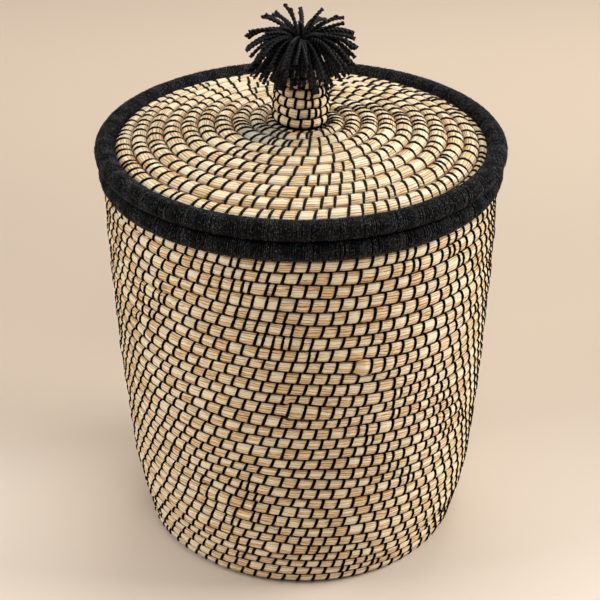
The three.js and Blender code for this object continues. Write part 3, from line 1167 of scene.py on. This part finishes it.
class BASKET_OT_rims(bpy.types.Operator):
    """Wind the yarn round both rim rolls"""

    bl_idname = "basket.rims"
    bl_label = "Rims"

    def execute(self, context):
        yarn = sizes().rim_yarn / 2
        upwards = math.pi / 2
        lining_depth = 1.3
        for body, roll, crease, seed in (
            ("basket", basket_roll(), upwards, 41), ("lid", lid_roll(), -upwards, 43),
        ):
            chance = random.Random(seed)
            name = body + "_rim"
            lined = (roll.thickness - lining_depth * yarn) / yarn
            lining = ring_run(roll.radius, roll.height, lined)
            windings = winding_run(roll, yarn, chance)
            mesh = tube_mesh(name + "_yarn", (), [windings, lining], radius=yarn)
            wrap = [name + "_wrap"]
            finish_piece(name + "_yarn", mesh, body, "Black rim yarn", wrap)
            hairs = hair_runs(roll, crease, chance)
            mesh = tube_mesh(name + "_fuzz", hairs, radius=HAIR_RADIUS, roundness=0)
            finish_piece(name + "_fuzz", mesh, body, "Rim fuzz")
            ring = [ring_run(roll.radius, roll.height)]
            mesh = tube_mesh(name + "_bundle", (), ring, radius=ROLL_CORE_RADIUS, roundness=4)
            core = [name + "_core"]
            finish_piece(name + "_bundle", mesh, body, "Knob straw", core)
        return {"FINISHED"}


class BASKET_OT_pompom(bpy.types.Operator):
    """Tie the pompom into the knob's top hole"""

    bl_idname = "basket.pompom"
    bl_label = "Pompom"

    def execute(self, context):
        chance = random.Random(157)
        tie_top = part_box("pompom_tie")[1].z
        knot_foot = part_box("pompom_anchor_knot")[0].z
        neck = Vector((0, 0, tie_top + STEM_PAST))
        middle = Vector((0, 0, tie_top + MIDDLE_RISE))
        paths = mop_paths(sizes().strands, middle, neck, chance)
        runs = [strand_run(path, chance, THIN_ROOT) for path in paths]
        stem_strands, stem_steps, stem_reach = 5, 24, 2.2
        foot = Vector((0, 0, knot_foot - STEM_PAST))
        for i in range(stem_strands):
            beside = outwards_at(FULL_TURN * i / stem_strands) * stem_reach * MM
            path = [foot.lerp(neck, k / stem_steps) + beside for k in range(stem_steps + 1)]
            runs.append(strand_run(path, chance, 1.0))
        section = yarn_section("pompom_section", sizes().pompom_yarn / 2)
        mesh = tube_mesh("pompom_strands", runs, section=section)
        finish_piece("pompom_strands", mesh, "lid", "Black pompom yarn", ["pompom"])
        for node in ("pompom_tie", "pompom_anchor_knot"):
            low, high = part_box(node)
            half = (high.z - low.z) / 2
            ring = ring_run(high.x - half, low.z + half, steps=24)
            mesh = tube_mesh(node + "_yarn", (), [ring], radius=half, roundness=3)
            finish_piece(node + "_yarn", mesh, "lid", "Black pompom yarn", [node])
        return {"FINISHED"}


class BASKET_OT_stage(bpy.types.Operator):
    """Lay the floor and set the lamps and the camera"""

    bl_idname = "basket.stage"
    bl_label = "Stage"

    def execute(self, context):
        scene = context.scene
        shape = bmesh.new()
        bmesh.ops.create_grid(shape, x_segments=1, y_segments=1, size=6.0)
        mesh = bpy.data.meshes.new("floor")
        shape.to_mesh(mesh)
        shape.free()
        floor = put("floor", mesh)
        tint = colours()
        paper_material(tint.floor_near, tint.floor_middle_painted_shade, tint.floor_far_painted_light, tint.floor_left_painted_light)
        mesh.materials.append(bpy.data.materials["Backdrop paper"])

        world = bpy.data.worlds.new("Studio")
        world.use_nodes = True
        sky = world.node_tree.nodes["Background"]
        sky.inputs["Color"].default_value = SKY
        sky.inputs["Strength"].default_value = SKY_STRENGTH
        scene.world = world

        for name, place, size, power in LAMPS:
            lamp = bpy.data.lights.new(name, "AREA")
            lamp.shape = "SQUARE"
            lamp.size = size
            lamp.energy = power
            holder = put(name, lamp)
            holder.location = place
            holder.rotation_euler = (LAMP_TARGET - place).to_track_quat("-Z", "Y").to_euler()

        camera = bpy.data.cameras.new("camera")
        camera.lens = CAMERA_LENS
        camera.sensor_width = 36
        holder = put("camera", camera)
        holder.location = CAMERA_PLACE
        holder.rotation_euler = (math.radians(CAMERA_TILT), 0, 0)
        scene.camera = holder
        scene.view_settings.view_transform = "Standard"
        return {"FINISHED"}


class BASKET_PT_panel(bpy.types.Panel):
    """Sizes, colours and steps of the basket"""

    bl_idname = "BASKET_PT_panel"
    bl_label = "Lidded basket"
    bl_space_type = "VIEW_3D"
    bl_region_type = "UI"
    bl_category = "Basket"

    def draw(self, context):
        for group in (context.scene.basket_sizes, context.scene.basket_colours):
            for name in group.__annotations__:
                self.layout.prop(group, name)
        for operator in OPERATORS:
            self.layout.operator(operator.bl_idname)


OPERATORS = [
    BASKET_OT_stage, BASKET_OT_materials, BASKET_OT_base, BASKET_OT_wall, BASKET_OT_rims,
    BASKET_OT_lid, BASKET_OT_knob, BASKET_OT_pompom,
]
CLASSES = [BasketSizes, BasketColours, *OPERATORS, BASKET_PT_panel]


def register():
    for each in CLASSES:
        bpy.utils.register_class(each)
    bpy.types.Scene.basket_sizes = bpy.props.PointerProperty(type=BasketSizes)
    bpy.types.Scene.basket_colours = bpy.props.PointerProperty(type=BasketColours)


def unregister():
    del bpy.types.Scene.basket_colours
    del bpy.types.Scene.basket_sizes
    for each in reversed(CLASSES):
        bpy.utils.unregister_class(each)


def main():
    register()
    bpy.ops.basket.stage()
    bpy.ops.basket.materials()
    bpy.ops.basket.base()
    bpy.ops.basket.wall()
    bpy.ops.basket.rims()
    bpy.ops.basket.lid()
    bpy.ops.basket.knob()
    bpy.ops.basket.pompom()


if __name__ == "__main__":
    main()
